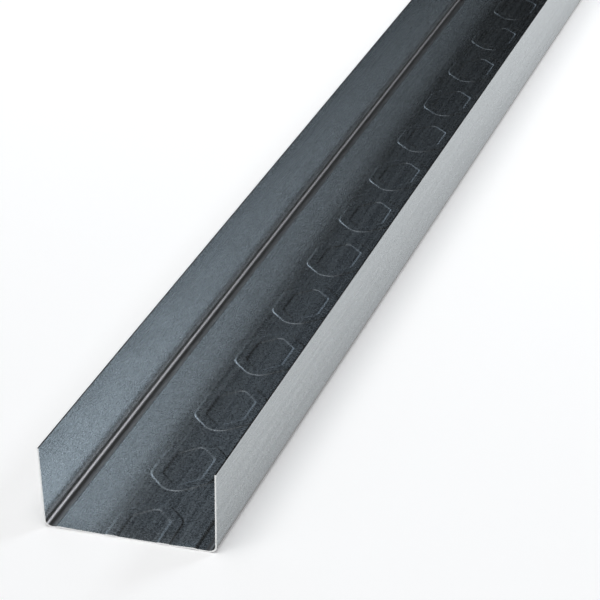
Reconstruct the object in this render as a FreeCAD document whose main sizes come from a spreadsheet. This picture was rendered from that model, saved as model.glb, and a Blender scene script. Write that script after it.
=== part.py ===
"""Ceiling channel: a length of roll-formed U channel in thin galvanised sheet.

The channel lies web down, as it would be left on a floor. X runs across it, Y along it and Z up.
The origin is in the middle of the length and of the width, on the plane that the channel lies on.
The web stands a little proud of a seat beside each corner, so that only the seats touch a flat
surface. The right seat is wide and the left one is narrow. Each corner sweeps up from its seat in a
wide bend and turns into the flange in a tight one. The flanges lean out a little, as sheet does when
it springs back.
"""
import FreeCAD
import Part
import Sketcher
import math
import os

NODE = "ceiling_channel"

# Driving sizes: millimetres and degrees, each with what it measures.
SIZES = [
    ("channel_length", 2400.0, "cut length of the stock"),
    ("web_width", 70.0, "over the outside of the flanges, at their feet"),
    ("channel_height", 34.0, "from the seats to the flanges' rims"),
    ("sheet_gauge", 0.6, "thickness of the sheet"),
    ("flange_splay", 1.5, "lean of each flange away from upright"),
    ("corner_angle", 45.0, "slope at which the two bends of a corner meet"),
    ("corner_facet", 0.2, "short flat between those bends"),
    ("flange_bend", 0.9, "inside radius of the tight bend below each flange"),
    ("seat_bend", 3.5, "inside radius of the wide bend beside each seat"),
    ("left_seat", 0.9, "flat under the left seat"),
    ("right_seat", 4.3, "flat under the right seat"),
    ("step_angle", 22.0, "slope of the step between seat and web"),
    ("step_radius", 1.0, "inside radius of the step's bends"),
    ("web_rise", 0.3, "height of the web above the seats"),
]

doc = FreeCAD.newDocument("CeilingChannel")
sheet = doc.addObject("Spreadsheet::Sheet", "Sizes")
for row, (alias, value, meaning) in enumerate(SIZES, start=1):
    sheet.set(f"A{row}", alias)
    sheet.set(f"B{row}", str(value))
    sheet.set(f"C{row}", meaning)
    sheet.setAlias(f"B{row}", alias)
doc.recompute()


def size(alias):
    """Value of one cell of the sheet."""
    return float(sheet.get(alias))


def plane_of(body, role):
    """Origin plane of a body, found by its role."""
    return next(item for item in body.Origin.OriginFeatures if item.Role == role)


def half_section(seat):
    """Corner points and bend radii of a half's underside, from mid-web to the flange's rim.

    The bends are set out from the flange's foot inwards, so that the width over the feet is exact.
    """
    gauge = size("sheet_gauge")
    splay = math.radians(size("flange_splay"))
    facet = math.radians(size("corner_angle"))
    step = math.radians(size("step_angle"))
    outer_low = size("seat_bend") + gauge
    outer_high = size("flange_bend") + gauge
    outer_step = size("step_radius") + gauge
    low_tangent = outer_low * math.tan(facet / 2)
    high_tangent = outer_high * math.tan((math.pi / 2 - splay - facet) / 2)
    step_tangent = outer_step * math.tan(step / 2)
    facet_run = low_tangent + size("corner_facet") + high_tangent

    high_x = size("web_width") / 2 - high_tangent * math.sin(splay)
    high_z = facet_run * math.sin(facet)
    low_x = high_x - facet_run * math.cos(facet)
    foot_x = low_x - low_tangent - size(seat) - step_tangent
    crest_x = foot_x - size("web_rise") / math.tan(step)
    rim_z = size("channel_height") - gauge * math.sin(splay)
    rim_x = high_x + (rim_z - high_z) * math.tan(splay)

    points = [
        FreeCAD.Vector(0, size("web_rise"), 0),
        FreeCAD.Vector(crest_x, size("web_rise"), 0),
        FreeCAD.Vector(foot_x, 0, 0),
        FreeCAD.Vector(low_x, 0, 0),
        FreeCAD.Vector(high_x, high_z, 0),
        FreeCAD.Vector(rim_x, rim_z, 0),
    ]
    radii = [size("step_radius"), outer_step, outer_low, outer_high]
    return points, radii


def offset_line(points, gap):
    """Corner points of the line that runs beside the given one, on its left, at the given gap."""
    normals = []
    for start, end in zip(points, points[1:]):
        along = (end - start).normalize()
        normals.append(FreeCAD.Vector(-along.y, along.x, 0))
    moved = [points[0] + normals[0] * gap]
    for corner, before, after in zip(points[1:], normals, normals[1:]):
        moved.append(corner + (before + after) * (gap / (1 + before.dot(after))))
    moved.append(points[-1] + normals[-1] * gap)
    return moved


class Outline:
    """Closed outline in a sketch: straight runs and bends, each kept by name with its two ends."""

    def __init__(self, sketch):
        self.sketch = sketch
        self.items = {}
        self.order = []

    def keep(self, name, index, start, end):
        self.items[name] = (index, start, end)
        self.order.append(name)

    def line(self, name, start, end):
        index = self.sketch.addGeometry(Part.LineSegment(start, end), False)
        self.keep(name, index, 1, 2)

    def bend(self, name, start, middle, end, left_turn):
        index = self.sketch.addGeometry(Part.Arc(start, middle, end), False)
        if left_turn:
            self.keep(name, index, 1, 2)
        else:
            self.keep(name, index, 2, 1)

    def run(self, points, radii, names):
        """Straight runs between the points, with a tangent bend of the given radius at each corner."""
        start = points[0]
        for number, radius in enumerate(radii):
            corner = points[number + 1]
            before = (corner - points[number]).normalize()
            after = (points[number + 2] - corner).normalize()
            turn = before.getAngle(after)
            left_turn = before.cross(after).z > 0
            tangent = radius * math.tan(turn / 2)
            bend_start = corner - before * tangent
            bend_end = corner + after * tangent
            bisector = (after - before).normalize()
            middle = corner + bisector * (radius / math.cos(turn / 2) - radius)
            self.line(names[2 * number], start, bend_start)
            self.bend(names[2 * number + 1], bend_start, middle, bend_end, left_turn)
            start = bend_end
        self.line(names[-1], start, points[-1])

    def index(self, name):
        return self.items[name][0]

    def constrain(self, kind, *values):
        return self.sketch.addConstraint(Sketcher.Constraint(kind, *values))

    def drive(self, label, expression, kind, *values):
        """Dimension of the sketch, bound to the sheet."""
        number = self.constrain(kind, *values)
        self.sketch.renameConstraint(number, label)
        self.sketch.setExpression(f"Constraints.{label}", expression)

    def join(self, square_ends):
        """Each piece meets the next: end to end where named, smoothly elsewhere."""
        for name, following in zip(self.order, self.order[1:] + self.order[:1]):
            here = self.items[name]
            there = self.items[following]
            square = name in square_ends or following in square_ends
            kind = "Coincident" if square else "Tangent"
            self.constrain(kind, here[0], here[2], there[0], there[1])


UNDER = ["web_under", "crest_under", "slope_under", "foot_under", "seat_under",
         "low_bend_under", "facet_under", "high_bend_under", "flange_under"]
UPPER = [name.replace("under", "upper") for name in UNDER]


def draw_half(sketch, seat):
    """One half of the section as a band of even thickness.

    Its outline is the underside from mid-web out to the rim, the rim, and the upper face back again.
    """
    gauge = size("sheet_gauge")
    under_points, under_radii = half_section(seat)
    upper_points = offset_line(under_points, gauge)
    upper_radii = [
        size("step_radius") + gauge, size("step_radius"), size("seat_bend"), size("flange_bend")
    ]
    outline = Outline(sketch)
    outline.run(under_points, under_radii, UNDER)
    outline.line("rim", under_points[-1], upper_points[-1])
    outline.run(upper_points[::-1], upper_radii[::-1], UPPER[::-1])
    outline.line("seam", upper_points[0], under_points[0])
    outline.join(["rim", "seam"])
    return outline


def constrain_half(outline, seat):
    """Both faces follow the same bends, so one gauge holds all the way round, and the sheet drives the rest."""
    for name in ("crest", "foot", "low_bend", "high_bend"):
        outline.constrain("Coincident", outline.index(f"{name}_under"), 3, outline.index(f"{name}_upper"), 3)
    for name in ("slope", "facet", "flange"):
        outline.constrain("Parallel", outline.index(f"{name}_under"), outline.index(f"{name}_upper"))
    for name in ("web_under", "seat_under", "web_upper", "seat_upper"):
        outline.constrain("Horizontal", outline.index(name))
    outline.constrain("PointOnObject", outline.index("seam"), 1, -2)
    outline.constrain("PointOnObject", outline.index("seam"), 2, -2)
    outline.constrain("PointOnObject", outline.index("seat_under"), 1, -1)
    outline.constrain("Perpendicular", outline.index("rim"), outline.index("flange_under"))

    flange = outline.index("flange_under")
    facet = outline.index("facet_under")
    outline.drive("half_width", "Sizes.web_width / 2", "DistanceX", -1, 1, flange, 1, size("web_width") / 2)
    outline.drive("height", "Sizes.channel_height", "DistanceY",
                  -1, 1, outline.index("rim"), 2, size("channel_height"))
    outline.drive("gauge", "Sizes.sheet_gauge", "Distance", outline.index("seam"), size("sheet_gauge"))
    outline.drive("flange_lean", "90 deg - Sizes.flange_splay * 1 deg", "Angle",
                  flange, math.radians(90 - size("flange_splay")))
    outline.drive("facet_slope", "Sizes.corner_angle * 1 deg", "Angle",
                  facet, math.radians(size("corner_angle")))
    outline.drive("facet_flat", "Sizes.corner_facet", "Distance", facet, size("corner_facet"))
    outline.drive("low_radius", "Sizes.seat_bend", "Radius", outline.index("low_bend_upper"), size("seat_bend"))
    outline.drive("high_radius", "Sizes.flange_bend", "Radius",
                  outline.index("high_bend_upper"), size("flange_bend"))
    outline.drive("seat_flat", f"Sizes.{seat}", "Distance", outline.index("seat_under"), size(seat))
    outline.drive("step_slope", "-Sizes.step_angle * 1 deg", "Angle",
                  outline.index("slope_under"), -math.radians(size("step_angle")))
    outline.drive("crest_radius", "Sizes.step_radius", "Radius",
                  outline.index("crest_under"), size("step_radius"))
    outline.drive("foot_radius", "Sizes.step_radius", "Radius",
                  outline.index("foot_upper"), size("step_radius"))
    outline.drive("rise", "Sizes.web_rise", "DistanceY",
                  -1, 1, outline.index("web_under"), 1, size("web_rise"))


body = doc.addObject("PartDesign::Body", "ChannelBody")
body.Label = NODE
ABOUT_UPRIGHT = FreeCAD.Vector(0, 1, 0)

# Each half is drawn on the plane across the channel and drawn out to the full length. The left half is
# drawn like the right one and turned half round about the upright axis of its sketch.
for side, seat, turned in (("Right", "right_seat", 0), ("Left", "left_seat", 180)):
    section = body.newObject("Sketcher::SketchObject", f"{side}Section")
    section.AttachmentSupport = [(plane_of(body, "XZ_Plane"), "")]
    section.MapMode = "FlatFace"
    section.AttachmentOffset = FreeCAD.Placement(
        FreeCAD.Vector(), FreeCAD.Rotation(ABOUT_UPRIGHT, turned))
    constrain_half(draw_half(section, seat), seat)
    doc.recompute()
    if not section.FullyConstrained:
        raise RuntimeError(f"the {side.lower()} section is not fully dimensioned")
    half = body.newObject("PartDesign::Pad", f"{side}Half")
    half.Profile = section
    half.SideType = "Symmetric"
    half.setExpression("Length", "Sizes.channel_length")
    half.Refine = True
    doc.recompute()
body.Tip = half
body.Placement = FreeCAD.Placement()
doc.recompute()

for item in doc.Objects:
    if "Invalid" in item.State or "Error" in item.State:
        raise RuntimeError(f"{item.Label} did not build: {item.State}")
shape = body.Shape
if shape.isNull() or not shape.isValid() or len(shape.Solids) != 1:
    raise RuntimeError("the channel is not one sound solid")

box = shape.BoundBox
print(f"{NODE}: {box.XLength:.3f} x {box.YLength:.3f} x {box.ZLength:.3f} mm, lowest {box.ZMin:.4f}")
print(f"faces {len(shape.Faces)}, volume {shape.Volume / 1000:.3f} cm3")
os.makedirs("parts", exist_ok=True)
shape.exportStep(f"parts/{NODE}.step")
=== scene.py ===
# %% [markdown]
# # A galvanised ceiling channel
#
# The object is one length of roll-formed steel channel: a flat web, two plain flanges and, beside each
# corner, a seat that stands a little lower than the web, narrow on the left and wide on the right. A strip
# of zinc-coated sheet 0.6 mm thick is bent by pairs of rollers, and one pair also presses a low pattern into
# the web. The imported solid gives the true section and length. This lesson dresses it: it builds the same
# sheet again with the pressed pattern in it, gives it a zinc finish and sets it in a plain studio.

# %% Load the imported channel
import math

import bmesh
import bpy
from mathutils import Matrix, Vector


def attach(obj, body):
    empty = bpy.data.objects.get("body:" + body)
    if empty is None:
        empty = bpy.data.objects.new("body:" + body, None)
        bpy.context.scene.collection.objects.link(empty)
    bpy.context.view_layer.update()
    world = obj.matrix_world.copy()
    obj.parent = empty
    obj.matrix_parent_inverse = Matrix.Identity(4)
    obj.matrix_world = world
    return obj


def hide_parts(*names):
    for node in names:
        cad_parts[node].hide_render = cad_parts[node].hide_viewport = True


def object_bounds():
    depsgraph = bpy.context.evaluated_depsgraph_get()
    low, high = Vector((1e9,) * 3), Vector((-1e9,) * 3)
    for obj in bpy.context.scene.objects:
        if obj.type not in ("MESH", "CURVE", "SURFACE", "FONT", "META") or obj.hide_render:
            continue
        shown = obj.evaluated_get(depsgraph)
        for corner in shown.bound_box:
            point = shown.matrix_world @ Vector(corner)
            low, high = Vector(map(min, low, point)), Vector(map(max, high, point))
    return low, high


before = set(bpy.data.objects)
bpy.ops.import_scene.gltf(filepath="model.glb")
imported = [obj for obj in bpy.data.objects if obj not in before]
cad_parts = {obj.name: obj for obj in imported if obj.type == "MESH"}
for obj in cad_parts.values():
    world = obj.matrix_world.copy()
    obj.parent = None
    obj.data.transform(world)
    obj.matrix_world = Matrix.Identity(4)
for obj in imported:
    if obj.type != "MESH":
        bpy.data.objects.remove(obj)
cad_low, cad_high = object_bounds()
MM = 0.001
print("nodes:", list(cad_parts), "size in mm:", [round(v / MM, 2) for v in cad_high - cad_low])

# %% [markdown]
# ## The section, walked from the web to the rim
#
# A strip in a roll former only ever runs straight or bends. So each half of the section is written as a walk:
# start on the underside at the end of the flat web, go straight for a length, bend by an angle with an inside
# radius, and so on up to the rim. At every stop both faces of the sheet are noted, one gauge apart. A drawing
# of all the corner points would work too, but a walk keeps the sheet's thickness even by itself. The sizes
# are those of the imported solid.

# %% Sizes of the section
GAUGE = 0.6 * MM
WIDTH = 70.0 * MM
HEIGHT = 34.0 * MM
LENGTH = cad_high.y - cad_low.y
WEB_RISE = 0.3 * MM
SPLAY = math.radians(1.5)
STEP_ANGLE = math.radians(22.0)
STEP_RADIUS = 1.0 * MM
LEFT_SEAT = 0.9 * MM
RIGHT_SEAT = 4.3 * MM
SEAT_BEND = 3.5 * MM
FACET_ANGLE = math.radians(45.0)
FACET = 0.2 * MM
FLANGE_BEND = 0.9 * MM
print("gauge", GAUGE / MM, "mm, length", round(LENGTH / MM, 1), "mm")

# %% [markdown]
# Smooth shading blends the direction of the faces that meet at a vertex. Next to a long flat face that would
# tint the whole flat. So each flat run gets a holding stop a quarter of a millimetre inside its ends, and the
# blend happens in that narrow margin.

# %% Walk along the strip
HOLD = 0.25 * MM


def straight(length, parts=1):
    """Steps along a straight run: a short one at each end, to hold the flat's shading, and parts between."""
    if length < 3 * HOLD:
        return [("run", length)]
    inner = (length - 2 * HOLD) / parts
    return [("run", HOLD)] + [("run", inner)] * parts + [("run", HOLD)]


def bend(angle, radius, parts):
    """Steps round a bend: a positive angle turns up, and the radius is that of the inside of the bend."""
    return [("turn", angle / parts, radius)] * parts


def walk(steps, start):
    """Pairs of points (underside, upper face) in the plane of the section, from a start on the underside."""
    point = Vector(start)
    heading = 0.0
    pairs = []
    for step in steps:
        across = Vector((-math.sin(heading), math.cos(heading)))
        if step[0] == "run":
            point = point + Vector((math.cos(heading), math.sin(heading))) * step[1]
        else:
            reach = step[2] + GAUGE if step[1] > 0 else -step[2]
            centre = point + across * reach
            heading += step[1]
            across = Vector((-math.sin(heading), math.cos(heading)))
            point = centre - across * reach
        pairs.append((point.copy(), point + across * GAUGE))
    return pairs


print("steps on a straight run of 10 mm:", [round(step[1] / MM, 2) for step in straight(10 * MM)])

# %% Both halves of the section
STEP_PARTS = 4
SEAT_BEND_PARTS = 10
FLANGE_BEND_PARTS = 6
FLANGE_PARTS = 3


def half_side(seat):
    """Pairs of points from the end of the flat web to the rim, for a seat of the given width."""
    bends_drop = (2 * STEP_RADIUS + GAUGE) * (1 - math.cos(STEP_ANGLE))
    slope_length = (WEB_RISE - bends_drop) / math.sin(STEP_ANGLE)
    to_foot = (
        bend(-STEP_ANGLE, STEP_RADIUS, STEP_PARTS)
        + straight(slope_length)
        + bend(STEP_ANGLE, STEP_RADIUS, STEP_PARTS)
        + straight(seat)
        + bend(FACET_ANGLE, SEAT_BEND, SEAT_BEND_PARTS)
        + straight(FACET)
        + bend(math.pi / 2 - SPLAY - FACET_ANGLE, FLANGE_BEND, FLANGE_BEND_PARTS)
    )
    foot = walk(to_foot, (0.0, WEB_RISE))[-1][0]
    flat_end = Vector((WIDTH / 2 - foot.x, WEB_RISE))
    flange_length = (HEIGHT - foot.y - GAUGE * math.sin(SPLAY)) / math.cos(SPLAY)
    first_pair = (flat_end, flat_end + Vector((0, GAUGE)))
    return [first_pair] + walk(to_foot + straight(flange_length, FLANGE_PARTS), flat_end)


sides = {1: half_side(RIGHT_SEAT), -1: half_side(LEFT_SEAT)}
web_ends = {sign: sign * side[0][0].x for sign, side in sides.items()}
for sign, side in sides.items():
    flat_end = round(web_ends[sign] / MM, 2)
    rim = round(sign * side[-1][1].x / MM, 2)
    print("flat of the web ends at", flat_end, "mm, rim at", rim, "mm, stops:", len(side))

# %% [markdown]
# ## The pressed pattern
#
# An embossing roller leaves a low raised band on the web, with the same shape sunk in the underside. Here the
# band is a plain six-sided loop with round corners, a little right of the middle of the web, one for each
# turn of the roller. The loop is drawn as a middle line with a direction across it, and rings of points at
# set distances either side of that line carry the height: flat top, short sloping sides, and one level ring
# outside to hold the flat web's shading. A displaced grid would need far more faces to show the narrow slopes
# as sharply.

# %% Middle line of the loop
OFF_MIDDLE = 3.0 * MM
HALF_ACROSS = 10.5 * MM
HALF_SIDE = 9.0 * MM
HALF_ALONG = 19.5 * MM
CORNER_RADIUS = 5.0 * MM
CORNER_STEP = math.radians(10.0)


def rounded_loop(tips, radius):
    """Closed middle line through round corners: points with their outward directions."""
    ways = []
    for tip, following in zip(tips, tips[1:] + tips[:1]):
        along = (following - tip).normalized()
        ways.append(Vector((along.y, -along.x)))
    line = []
    for tip, before, after in zip(tips, ways[-1:] + ways[:-1], ways):
        centre = tip - (before + after) * (radius / (1 + before.dot(after)))
        stops = math.ceil(before.angle(after) / CORNER_STEP)
        for stop in range(stops + 1):
            way = before.slerp(after, stop / stops)
            line.append((centre + way * radius, way))
    return line


loop_right = OFF_MIDDLE + HALF_ACROSS
loop_left = OFF_MIDDLE - HALF_ACROSS
loop_tips = [
    Vector((loop_right, -HALF_SIDE)),
    Vector((loop_right, HALF_SIDE)),
    Vector((OFF_MIDDLE, HALF_ALONG)),
    Vector((loop_left, HALF_SIDE)),
    Vector((loop_left, -HALF_SIDE)),
    Vector((OFF_MIDDLE, -HALF_ALONG)),
]
middle_line = rounded_loop(loop_tips, CORNER_RADIUS)
print("points round a loop:", len(middle_line))

# %% Rings across the band
BAND_HEIGHT = 0.18 * MM
# Distance from the middle line in millimetres, and the share of the band's height there.
BAND_RISE = [(3.0, 0.0), (2.75, 0.0), (2.58, 0.12), (2.4, 0.5), (2.22, 0.88), (2.05, 1.0), (1.8, 1.0)]
rings = [(gap * MM, share * BAND_HEIGHT) for gap, share in BAND_RISE]
rings += [(-gap, rise) for gap, rise in reversed(rings)]
print("rings:", len(rings), "band height in mm:", round(BAND_HEIGHT / MM, 2))

# %% [markdown]
# ## One turn of the roller
#
# The channel repeats itself every 50 mm, so one such length is built: side strips between the stops of the
# section, the web with its loop, and the rims. The flat web between the loop and its borders is filled with
# triangles by Blender itself. The same code makes the upper face and the underside.

# %% Web of one turn
PITCH = 50.0 * MM
ROW_COUNT = 4
rows = [PITCH * (i / ROW_COUNT - 0.5) for i in range(ROW_COUNT + 1)]


def add_loop(mesh, points):
    """Closed loop of vertices and edges."""
    verts = [mesh.verts.new(point) for point in points]
    edges = [mesh.edges.new((verts[i - 1], verts[i])) for i in range(len(verts))]
    return verts, edges


def add_web(mesh, level):
    """Web of one turn at a height: flat borders, the raised band and the flat inside the loop."""
    holds = {sign: end - sign * HOLD for sign, end in web_ends.items()}
    border = [(holds[1], y, level) for y in rows] + [(holds[-1], y, level) for y in reversed(rows)]
    _, border_edges = add_loop(mesh, border)
    ring_verts = []
    ring_edges = []
    for gap, rise in rings:
        verts, edges = add_loop(mesh, [(*(point + way * gap), level + rise) for point, way in middle_line])
        ring_verts.append(verts)
        ring_edges.append(edges)
    bmesh.ops.triangle_fill(mesh, use_beauty=True, edges=border_edges + ring_edges[0], normal=(0, 0, 1))
    for outer, inner in zip(ring_verts, ring_verts[1:]):
        for i in range(len(outer)):
            mesh.faces.new((outer[i - 1], outer[i], inner[i], inner[i - 1]))
    mesh.faces.new(ring_verts[-1])
    for sign, end in web_ends.items():
        for low, high in zip(rows, rows[1:]):
            strip = [(holds[sign], low), (end, low), (end, high), (holds[sign], high)]
            mesh.faces.new([mesh.verts.new((x, y, level)) for x, y in strip])


turn = bmesh.new()
add_web(turn, WEB_RISE + GAUGE)
add_web(turn, WEB_RISE)
print("web of one turn:", len(turn.faces), "faces")

# %% Sides of one turn
MERGE = 0.002 * MM


def add_sides(mesh):
    """Both sides of one turn: upper face, rim and underside."""
    for sign, side in sides.items():
        line = [upper for _, upper in side] + [under for under, _ in reversed(side)]
        grid = [[mesh.verts.new((sign * point.x, y, point.y)) for point in line] for y in rows]
        for near, far in zip(grid, grid[1:]):
            for i in range(len(line) - 1):
                mesh.faces.new((near[i], near[i + 1], far[i + 1], far[i]))


add_sides(turn)
bmesh.ops.remove_doubles(turn, verts=turn.verts, dist=MERGE)
print("one turn:", len(turn.verts), "vertices,", len(turn.faces), "faces")

# %% [markdown]
# ## Rolled long, then cut to length
#
# As in the mill, the turns are laid end to end until the strip is longer than the stock, and then both ends
# are sheared off, wherever that falls in the pattern. An Array modifier could repeat the turn, but the next
# steps cut the mesh itself, so the turns are joined in it. Blender's bisect does the shearing and leaves an
# open outline, which one flat face closes: the bare cut edge of the sheet.

# %% Lay the turns end to end
FIRST_LOOP = 7.0 * MM
turns = math.ceil(LENGTH / PITCH) + 2
turn_mesh = bpy.data.meshes.new("one_turn")
turn.to_mesh(turn_mesh)
turn.free()
channel = bmesh.new()
for number in range(turns):
    turn_start = cad_low.y + FIRST_LOOP + (number - 1) * PITCH
    first = len(channel.verts)
    channel.from_mesh(turn_mesh)
    channel.verts.ensure_lookup_table()
    bmesh.ops.translate(channel, verts=channel.verts[first:], vec=(0, turn_start, 0))
bpy.data.meshes.remove(turn_mesh)
bmesh.ops.remove_doubles(channel, verts=channel.verts, dist=MERGE)
print("turns:", turns, "faces:", len(channel.faces))

# %% Shear the ends
CUT_SLACK = 0.001 * MM
END_SLACK = 0.01 * MM


def cut_across(mesh, along, way=1, drop_outer=False):
    """Cut a mesh across at a place along its length and, if asked, drop what lies on the way's side."""
    everything = mesh.verts[:] + mesh.edges[:] + mesh.faces[:]
    bmesh.ops.bisect_plane(
        mesh, geom=everything, dist=CUT_SLACK,
        plane_co=(0, along, 0), plane_no=(0, way, 0), clear_outer=drop_outer,
    )


for end, way in ((cad_low.y, -1), (cad_high.y, 1)):
    cut_across(channel, end, way, drop_outer=True)
    outline = [
        edge for edge in channel.edges
        if edge.is_boundary and abs(edge.verts[0].co.y - end) < END_SLACK
    ]
    bmesh.ops.contextual_create(channel, geom=outline)
    print("end at", round(end / MM, 1), "mm closed round", len(outline), "edges")
bmesh.ops.recalc_face_normals(channel, faces=channel.faces)

# %% [markdown]
# The shear's blade also draws the last centimetre of the web down by about a third of a millimetre. It could
# be sculpted by hand. A few more cuts across the channel give vertices there instead, and a formula moves
# them: most at the end, nothing a centimetre in, and less towards the seats, which stay where they are. That
# keeps the curve even, and it is the same at both ends.

# %% Draw the ends of the web down
FLARE_LENGTH = 11.0 * MM
FLARE_CUTS = 7
FLARE_DROP = 0.36 * MM
FLARE_FADE = 6.0 * MM
for end, way in ((cad_low.y, 1), (cad_high.y, -1)):
    for cut in range(1, FLARE_CUTS + 1):
        cut_across(channel, end + way * FLARE_LENGTH * cut / FLARE_CUTS)
    for vert in channel.verts:
        from_end = abs(vert.co.y - end) / FLARE_LENGTH
        from_side = min(web_ends[1] - vert.co.x, vert.co.x - web_ends[-1]) / FLARE_FADE
        if from_end < 1 and from_side > 0:
            vert.co.z -= FLARE_DROP * (1 - from_end) ** 2 * min(1, from_side)
open_edges = sum(1 for edge in channel.edges if not edge.is_manifold)
print("faces:", len(channel.faces), "open edges:", open_edges)

# %% [markdown]
# ## Rims and ends
#
# Zinc covers the two faces of the sheet. The ends were sheared last, so they show bright bare steel. The rims
# were slit from the coil long before and carry a thin oxide, and their near-black colour is also painted shade
# along the top of each flange. A painted mask could tell them apart, but a face either is a cut edge or it
# isn't: each kind is found by the way it faces, and gets its own material.

# %% Sort the faces and make the channel object
ZINC, SHEARED, SLIT = 0, 1, 2
STRAIGHT_ON = 0.9
SHARP_EDGE = math.radians(40.0)
for face in channel.faces:
    face.smooth = True
    face.material_index = ZINC
    if abs(face.normal.y) > STRAIGHT_ON:
        face.material_index = SHEARED
    elif face.normal.z > STRAIGHT_ON and face.calc_center_median().z > HEIGHT - GAUGE:
        face.material_index = SLIT
sheet_mesh = bpy.data.meshes.new("rolled_channel")
channel.to_mesh(sheet_mesh)
channel.free()
sheet_mesh.set_sharp_from_angle(angle=SHARP_EDGE)
rolled_channel = bpy.data.objects.new("rolled_channel", sheet_mesh)
bpy.context.scene.collection.objects.link(rolled_channel)
sheet_mesh.calc_loop_triangles()
print("triangles:", len(sheet_mesh.loop_triangles))

# %% [markdown]
# ## Tools for the finishes
#
# Each finish is a small net of nodes, which keeps its pattern at real size and needs no pictures. Colours are
# written as they look on a screen, and one function turns them into the linear values that Blender works
# with. One more small function adds a node with its settings and links, so that a finish reads as a list of
# what it is made of.


# %% Helpers for materials
def linear(code):
    """Linear RGBA of an sRGB hex colour."""
    parts = [int(code[i:i + 2], 16) / 255 for i in (1, 3, 5)]
    return (*[v / 12.92 if v <= 0.04045 else ((v + 0.055) / 1.055) ** 2.4 for v in parts], 1.0)


def add_node(tree, kind, inputs=None, **settings):
    """Node of a kind, with its settings, and its inputs given as values or as the sockets to link."""
    node = tree.nodes.new(kind)
    for name, value in settings.items():
        setattr(node, name, value)
    for name, value in (inputs or {}).items():
        if isinstance(value, bpy.types.NodeSocket):
            tree.links.new(value, node.inputs[name])
        else:
            node.inputs[name].default_value = value
    return node


def new_material(name):
    """Material with an empty net of nodes, and that net."""
    material = bpy.data.materials.new(name)
    material.use_nodes = True
    material.node_tree.nodes.clear()
    return material, material.node_tree


print("mid grey on a screen is", round(linear("#808080")[0], 3), "in linear values")

# %% [markdown]
# ## Galvanised steel
#
# Hot-dip galvanised sheet is steel drawn through molten zinc. The zinc freezes in very small crystals, the
# spangle, and is then flattened by the rollers. The eye gets a cool grey metal, half bright, with a fine
# grain, faint streaks along the rolling direction and slow patches of lighter and darker zinc. The lighter
# crystals are also the rougher ones. So the grain hardly shows where a broad lamp is mirrored, and shows well
# where the dark room is. Noise of three sizes gives all this. Cells with clear borders would suit large
# spangle, which this sheet doesn't have.

# %% Grain, streaks and patches of the zinc
galvanised, tree = new_material("hot_dip_galvanised_steel")
place = add_node(tree, "ShaderNodeTexCoord").outputs["Object"]
# Real crystals of this kind are under half a millimetre wide. They are drawn a little coarser, to show.
GRAIN = 0.7 * MM
grain = add_node(
    tree, "ShaderNodeTexNoise", {"Vector": place, "Scale": 1 / GRAIN, "Detail": 2.0, "Roughness": 0.6}
).outputs["Fac"]
# Width, length along the channel, and detail.
STREAK = (1.2 * MM, 160 * MM, 3.0)
PATCH = (30 * MM, 200 * MM, 2.0)
drawn_out = []
for width, length, detail in (STREAK, PATCH):
    stretched = add_node(
        tree, "ShaderNodeMapping", {"Vector": place, "Scale": (1 / width, 1 / length, 1 / width)}
    ).outputs["Vector"]
    noise = add_node(tree, "ShaderNodeTexNoise", {"Vector": stretched, "Scale": 1.0, "Detail": detail})
    drawn_out.append(noise.outputs["Fac"])
streaks, patches = drawn_out
print("grain", round(GRAIN / MM, 2), "mm, streaks", round(STREAK[0] / MM, 2), "mm wide")

# %% Colour of the zinc
GRAIN_SHARE, STREAK_SHARE, PATCH_SHARE = 0.6, 0.3, 0.1
TONE_LOW, TONE_HIGH = 0.38, 0.62
DARK_ZINC, LIGHT_ZINC = linear("#8d9396"), linear("#b1b6b8")
tone = 0.0
for pattern, share in ((grain, GRAIN_SHARE), (streaks, STREAK_SHARE), (patches, PATCH_SHARE)):
    tone = add_node(
        tree, "ShaderNodeMath", {0: pattern, 1: share, 2: tone}, operation="MULTIPLY_ADD"
    ).outputs["Value"]
shade = add_node(
    tree, "ShaderNodeMapRange", {"Value": tone, "From Min": TONE_LOW, "From Max": TONE_HIGH}
).outputs["Result"]
zinc = add_node(
    tree, "ShaderNodeMix", {"Factor": shade, "A": DARK_ZINC, "B": LIGHT_ZINC}, data_type="RGBA"
).outputs["Result"]
print("zinc from", [round(v, 2) for v in DARK_ZINC], "to", [round(v, 2) for v in LIGHT_ZINC])

# %% [markdown]
# Round the corners the zinc is given a darker colour, without the blue, and an even roughness. The darker
# colour
# is painted shade: it dims the bright line that the bends mirror and deepens the dark line beside it. The
# place
# on the section tells where: far from the middle and low down, with soft borders. A painted mask would do as
# well, but would have to be painted along the whole length.

# %% Painted shade at the corners
CORNER_START, CORNER_FULL = 30.0 * MM, 30.8 * MM
CORNER_LOW, CORNER_TOP = 2.2 * MM, 3.6 * MM
section_place = add_node(tree, "ShaderNodeSeparateXYZ", {"Vector": place}).outputs
from_middle = add_node(
    tree, "ShaderNodeMath", {0: section_place["X"]}, operation="ABSOLUTE"
).outputs["Value"]
by_side = add_node(
    tree, "ShaderNodeMapRange",
    {"Value": from_middle, "From Min": CORNER_START, "From Max": CORNER_FULL},
    interpolation_type="SMOOTHSTEP",
).outputs["Result"]
# Mask of the painted shade: full low down at the corner bends, none on the web and up the flanges.
corner_shade = add_node(
    tree, "ShaderNodeMapRange",
    {
        "Value": section_place["Z"], "From Min": CORNER_LOW, "From Max": CORNER_TOP,
        "To Min": by_side, "To Max": 0.0,
    },
    interpolation_type="SMOOTHSTEP",
).outputs["Result"]
print("rubbed from", CORNER_FULL / MM, "mm outwards and up to", CORNER_LOW / MM, "mm")

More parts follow.
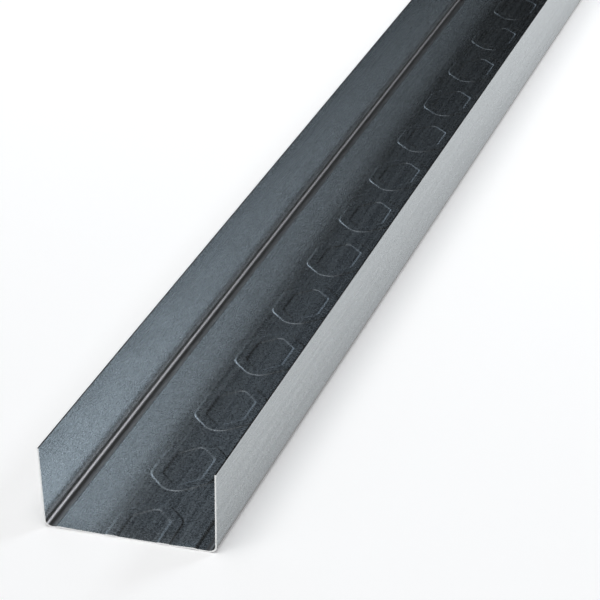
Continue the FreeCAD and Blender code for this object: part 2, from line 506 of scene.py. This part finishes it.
# %% Surface of the galvanised steel
BRIGHT_ROUGHNESS, MATT_ROUGHNESS, CORNER_ROUGHNESS = 0.20, 0.33, 0.31
CORNER_SHADE_ZINC = linear("#868381")
GRAIN_RELIEF = 0.06 * MM
RELIEF_STRENGTH = 0.12
# The darker colour at the corners is painted shade. The roughness mixed in beside it is the zinc's own.
zinc_with_corner_shade = add_node(
    tree, "ShaderNodeMix", {"Factor": corner_shade, "A": zinc, "B": CORNER_SHADE_ZINC}, data_type="RGBA"
).outputs["Result"]
crystals = add_node(
    tree, "ShaderNodeMapRange", {"Value": shade, "To Min": BRIGHT_ROUGHNESS, "To Max": MATT_ROUGHNESS}
).outputs["Result"]
roughness = add_node(
    tree, "ShaderNodeMix", {"Factor": corner_shade, "A": crystals, "B": CORNER_ROUGHNESS}, data_type="FLOAT"
).outputs["Result"]
relief = add_node(
    tree, "ShaderNodeBump", {"Height": grain, "Strength": RELIEF_STRENGTH, "Distance": GRAIN_RELIEF}
).outputs["Normal"]
surface = add_node(
    tree, "ShaderNodeBsdfPrincipled",
    {"Base Color": zinc_with_corner_shade, "Metallic": 1.0, "Roughness": roughness, "Normal": relief},
)
add_node(tree, "ShaderNodeOutputMaterial", {"Surface": surface.outputs["BSDF"]})
print(galvanised.name, "has", len(tree.nodes), "nodes")

# %% [markdown]
# ## Bare sheared steel
#
# A shear cuts into the sheet and tears the rest of the way, so an end is bare steel, bright and unevenly
# rough. The eye gets a thin white line round the end. One colour would look like paint, so noise varies both
# the colour and the roughness.

# %% Bare sheared steel
# Real tears are about a tenth of a millimetre wide. They are drawn coarser, to show.
TEAR = 0.5 * MM
SMOOTH_CUT, ROUGH_TEAR = 0.35, 0.55
TORN_STEEL, CUT_STEEL = linear("#dcdddd"), linear("#f6f6f5")
bare, tree = new_material("bare_sheared_steel")
place = add_node(tree, "ShaderNodeTexCoord").outputs["Object"]
tear = add_node(
    tree, "ShaderNodeTexNoise", {"Vector": place, "Scale": 1 / TEAR, "Detail": 2.0}
).outputs["Fac"]
steel = add_node(
    tree, "ShaderNodeMix", {"Factor": tear, "A": TORN_STEEL, "B": CUT_STEEL}, data_type="RGBA"
).outputs["Result"]
roughness = add_node(
    tree, "ShaderNodeMapRange", {"Value": tear, "To Min": SMOOTH_CUT, "To Max": ROUGH_TEAR}
).outputs["Result"]
surface = add_node(
    tree, "ShaderNodeBsdfPrincipled", {"Base Color": steel, "Metallic": 1.0, "Roughness": roughness}
)
add_node(tree, "ShaderNodeOutputMaterial", {"Surface": surface.outputs["BSDF"]})
print(bare.name, "has", len(tree.nodes), "nodes")

# %% [markdown]
# ## Dark slit rims
#
# Round knives slit the wide coil into strips, long before the rollers. Bare steel that has lain in the air
# has a thin skin of oxide. Its colour here is darkened to near black, which is painted shade: the eye gets a
# dark line along the top of each flange. The skin is uneven over a couple of millimetres, which noise gives
# again.

# %% Oxidised slit steel with painted shade
SLIT_MARK = 2.0 * MM
OXIDE_ROUGHNESS = 0.4
THICK_OXIDE_SHADE, THIN_OXIDE_SHADE = linear("#35322f"), linear("#4b4743")
slit, tree = new_material("oxidised_slit_steel_and_painted_shade")
place = add_node(tree, "ShaderNodeTexCoord").outputs["Object"]
marks = add_node(
    tree, "ShaderNodeTexNoise", {"Vector": place, "Scale": 1 / SLIT_MARK, "Detail": 2.0}
).outputs["Fac"]
# Near black along the rims: painted shade over the thin oxide.
oxide_and_shade = add_node(
    tree, "ShaderNodeMix", {"Factor": marks, "A": THICK_OXIDE_SHADE, "B": THIN_OXIDE_SHADE}, data_type="RGBA"
).outputs["Result"]
surface = add_node(
    tree, "ShaderNodeBsdfPrincipled", {"Base Color": oxide_and_shade, "Metallic": 1.0, "Roughness": OXIDE_ROUGHNESS}
)
add_node(tree, "ShaderNodeOutputMaterial", {"Surface": surface.outputs["BSDF"]})
print(slit.name, "has", len(tree.nodes), "nodes")

# %% [markdown]
# ## Finish and imported body
#
# The three finishes go on in the order of the face numbers. Then the new channel is tied to the imported
# body and stands for the plain solid.

# %% Put the finishes on and tie the channel to the imported body
for finish in (galvanised, bare, slit):
    sheet_mesh.materials.append(finish)
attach(rolled_channel, "root")
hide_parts("ceiling_channel")
print("finishes:", [finish.name for finish in sheet_mesh.materials])

# %% [markdown]
# ## Studio floor
#
# Metal shows its surroundings, so the studio is part of the look. The floor is matt white paint on a wide
# flat ground, and the outer flange mirrors it and looks pale. A lamp's light falls off with distance, which
# would leave most of a wide floor grey. More lamps would whiten it, but would spoil the light on the metal.
# So for the camera and for mirrors the paint gets just the light that is missing at each place, worked out
# from the distance to the foot of the lamp above. The floor is then white to the horizon, lights nothing
# else, and keeps the channel's shadow.

# %% Floor
FLOOR_REACH = 60.0
# The floor lies a hair under the seats, to clear the drawn-down ends of the web.
FLOOR_DEPTH = -0.1 * MM
floor_corners = [
    (x * FLOOR_REACH, y * FLOOR_REACH, FLOOR_DEPTH) for x, y in ((-1, -1), (1, -1), (1, 1), (-1, 1))
]
floor_mesh = bpy.data.meshes.new("studio_floor")
floor_mesh.from_pydata(floor_corners, [], [(0, 1, 2, 3)])
studio_floor = bpy.data.objects.new("studio_floor", floor_mesh)
bpy.context.scene.collection.objects.link(studio_floor)
print("floor reaches", FLOOR_REACH, "m each way")

# %% Light that is missing on the floor
LAMP_PLACE = (-0.2, -2.0, 3.2)
FLOOR_LEVEL = 0.94
LAMP_LEVEL = 0.84
painted, tree = new_material("white_floor_paint")
painted.cycles.emission_sampling = "NONE"
place = add_node(tree, "ShaderNodeTexCoord").outputs["Object"]
lamp_foot = (LAMP_PLACE[0], LAMP_PLACE[1], 0.0)
missing = add_node(
    tree, "ShaderNodeVectorMath", {0: place, 1: lamp_foot}, operation="DISTANCE"
).outputs["Value"]
# The lamp gives LAMP_LEVEL / (1 + (distance / height) ** 2) ** 2, and the rest is missing.
for operation, values in (
    ("DIVIDE", {1: LAMP_PLACE[2]}),
    ("POWER", {1: 2.0}),
    ("ADD", {1: 1.0}),
    ("POWER", {1: -2.0}),
    ("MULTIPLY_ADD", {1: -LAMP_LEVEL, 2: FLOOR_LEVEL}),
):
    missing = add_node(tree, "ShaderNodeMath", {0: missing, **values}, operation=operation).outputs["Value"]
ray = add_node(tree, "ShaderNodeLightPath").outputs
seen = ray["Is Camera Ray"]
for other in ("Is Glossy Ray", "Is Transmission Ray"):
    seen = add_node(tree, "ShaderNodeMath", {0: seen, 1: ray[other]}, operation="MAXIMUM").outputs["Value"]
glow = add_node(tree, "ShaderNodeMath", {0: missing, 1: seen}, operation="MULTIPLY").outputs["Value"]
print("missing under the lamp:", round(FLOOR_LEVEL - LAMP_LEVEL, 2), "and far away:", FLOOR_LEVEL)

# %% White floor paint
# Matt emulsion, rolled on: an even white with a very faint mottle as wide as the roller's strokes.
MOTTLE = 400 * MM
PAINT_ROUGHNESS = 0.9
PAINT_SHINE = 0.1
THIN_PAINT, THICK_PAINT = linear("#f6f6f6"), linear("#f8f8f8")
WHITE = linear("#ffffff")
mottle = add_node(
    tree, "ShaderNodeTexNoise", {"Vector": place, "Scale": 1 / MOTTLE, "Detail": 2.0}
).outputs["Fac"]
paint = add_node(
    tree, "ShaderNodeMix", {"Factor": mottle, "A": THIN_PAINT, "B": THICK_PAINT}, data_type="RGBA"
).outputs["Result"]
surface = add_node(
    tree, "ShaderNodeBsdfPrincipled",
    {
        "Base Color": paint, "Roughness": PAINT_ROUGHNESS, "Specular IOR Level": PAINT_SHINE,
        "Emission Color": WHITE, "Emission Strength": glow,
    },
)
add_node(tree, "ShaderNodeOutputMaterial", {"Surface": surface.outputs["BSDF"]})
floor_mesh.materials.append(painted)
print(painted.name, "has", len(tree.nodes), "nodes")

# %% [markdown]
# ## Room
#
# The room is what the metal mirrors above the floor. It is dark behind the channel, so that the inside looks
# deep, and lighter behind the camera, which brightens the ends. Walls could be modelled, but a world with one
# ramp of grey over the height for each half of the room does the same with less. Both ramps are white at the
# horizon, so that low views see no edge where the floor ends.

# %% Room
HORIZON = [(0.0, 1.0), (0.065, 1.0)]
BACK_WALL = [(0.10, 0.01), (0.55, 0.01), (1.0, 0.05)]
FRONT_WALL = [(0.10, 0.50), (0.55, 0.30), (1.0, 0.05)]
FRONT_FULL = -0.5
world = bpy.data.worlds.new("dim_studio")
bpy.context.scene.world = world
world.use_nodes = True
tree = world.node_tree
tree.nodes.clear()
look = add_node(tree, "ShaderNodeTexCoord").outputs["Generated"]
direction = add_node(tree, "ShaderNodeSeparateXYZ", {"Vector": look}).outputs
walls = []
for wall in (BACK_WALL, FRONT_WALL):
    ramp = add_node(tree, "ShaderNodeValToRGB", {"Fac": direction["Z"]})
    elements = ramp.color_ramp.elements
    while len(elements) < len(HORIZON + wall):
        elements.new(0.5)
    for element, (position, level) in zip(elements, HORIZON + wall):
        element.position = position
        element.color = (level, level, level, 1.0)
    walls.append(ramp.outputs["Color"])
front = add_node(
    tree, "ShaderNodeMapRange", {"Value": direction["Y"], "From Min": 0.0, "From Max": FRONT_FULL}
).outputs["Result"]
room = add_node(
    tree, "ShaderNodeMix", {"Factor": front, "A": walls[0], "B": walls[1]}, data_type="RGBA"
).outputs["Result"]
background = add_node(tree, "ShaderNodeBackground", {"Color": room, "Strength": 1.0})
add_node(tree, "ShaderNodeOutputWorld", {"Surface": background.outputs["Background"]})
print(world.name, "has", len(tree.nodes), "nodes")

# %% [markdown]
# ## Lamps
#
# Soft rectangular lamps stand where the metal mirrors them. The strip on the right, in two lengths, is
# mirrored by the left flange, and by the web beside it by way of that flange. The window and the fill on the
# left light the web, except where the left flange hides them. The rear panel gives the pressed edges their
# light lines, while the edges that face right mirror the room and stay dark. The overhead lamp lights the
# floor and the ends. All of them stay out of the picture. One big lamp would be simpler, but it would make
# the whole inside equally bright.


# %% Lamps
def add_lamp(name, lamp_place, target, width, length, watts, colour=(1.0, 1.0, 1.0)):
    """Soft rectangular lamp that faces a point and stays out of the picture itself."""
    light = bpy.data.lights.new(name, "AREA")
    light.shape = "RECTANGLE"
    light.size = width
    light.size_y = length
    light.energy = watts
    light.color = colour
    lamp = bpy.data.objects.new(name, light)
    lamp.location = lamp_place
    lamp.rotation_euler = (Vector(target) - Vector(lamp_place)).to_track_quat("-Z", "Y").to_euler()
    lamp.visible_camera = False
    bpy.context.scene.collection.objects.link(lamp)
    print(name, "gives", watts, "W over", width, "by", length, "m")


COOL = (0.93, 1.0, 1.09)
WINDOW = (0.84, 1.0, 1.18)
add_lamp("strip_softbox", (2.23, 2.05, 2.43), (0.0, 2.05, 0.0), 2.3, 0.75, 38.0, COOL)
add_lamp("strip_softbox_far", (2.23, 4.70, 2.43), (0.0, 4.70, 0.0), 3.0, 0.75, 10.5, COOL)
add_lamp("left_window", (-2.60, 3.8, 2.03), (0.0, 3.8, 0.0), 3.6, 0.70, 9.0, WINDOW)
add_lamp("left_fill", (-2.25, 4.4, 2.41), (0.0, 4.4, 0.0), 4.8, 0.60, 3.6, WINDOW)
add_lamp("rear_panel", (-1.20, 0.7, 2.90), (0.0, 0.7, 0.0), 1.9, 2.1, 6.0, COOL)
add_lamp("overhead_softbox", LAMP_PLACE, (0.0, -0.9, 0.0), 2.8, 2.8, 80.0)

# %% [markdown]
# ## Camera
#
# The camera's place, direction, roll and lens were fitted to the straight edges of the channel in the
# photograph, so the near end and both flanges fall where they do there. Turning a camera by eye would come
# near, but long straight edges show a small error at once.

# %% Camera
CAMERA_PLACE = (0.3285, -1.9695, 0.5121)
CAMERA_AZIMUTH = math.radians(18.58)
CAMERA_ELEVATION = math.radians(26.31)
CAMERA_ROLL = math.radians(-1.156)
SENSOR_WIDTH = 36.0
LENS = 154.55
camera_data = bpy.data.cameras.new("photo_camera")
camera_data.sensor_width = SENSOR_WIDTH
camera_data.lens = LENS
camera = bpy.data.objects.new("photo_camera", camera_data)
turned = (
    Matrix.Rotation(CAMERA_AZIMUTH, 4, "Z")
    @ Matrix.Rotation(math.pi / 2 - CAMERA_ELEVATION, 4, "X")
    @ Matrix.Rotation(CAMERA_ROLL, 4, "Z")
)
camera.matrix_world = Matrix.Translation(CAMERA_PLACE) @ turned
bpy.context.scene.collection.objects.link(camera)
bpy.context.scene.camera = camera
bpy.context.scene.view_settings.view_transform = "Standard"
print("camera at", CAMERA_PLACE, "with a lens of", LENS, "mm")
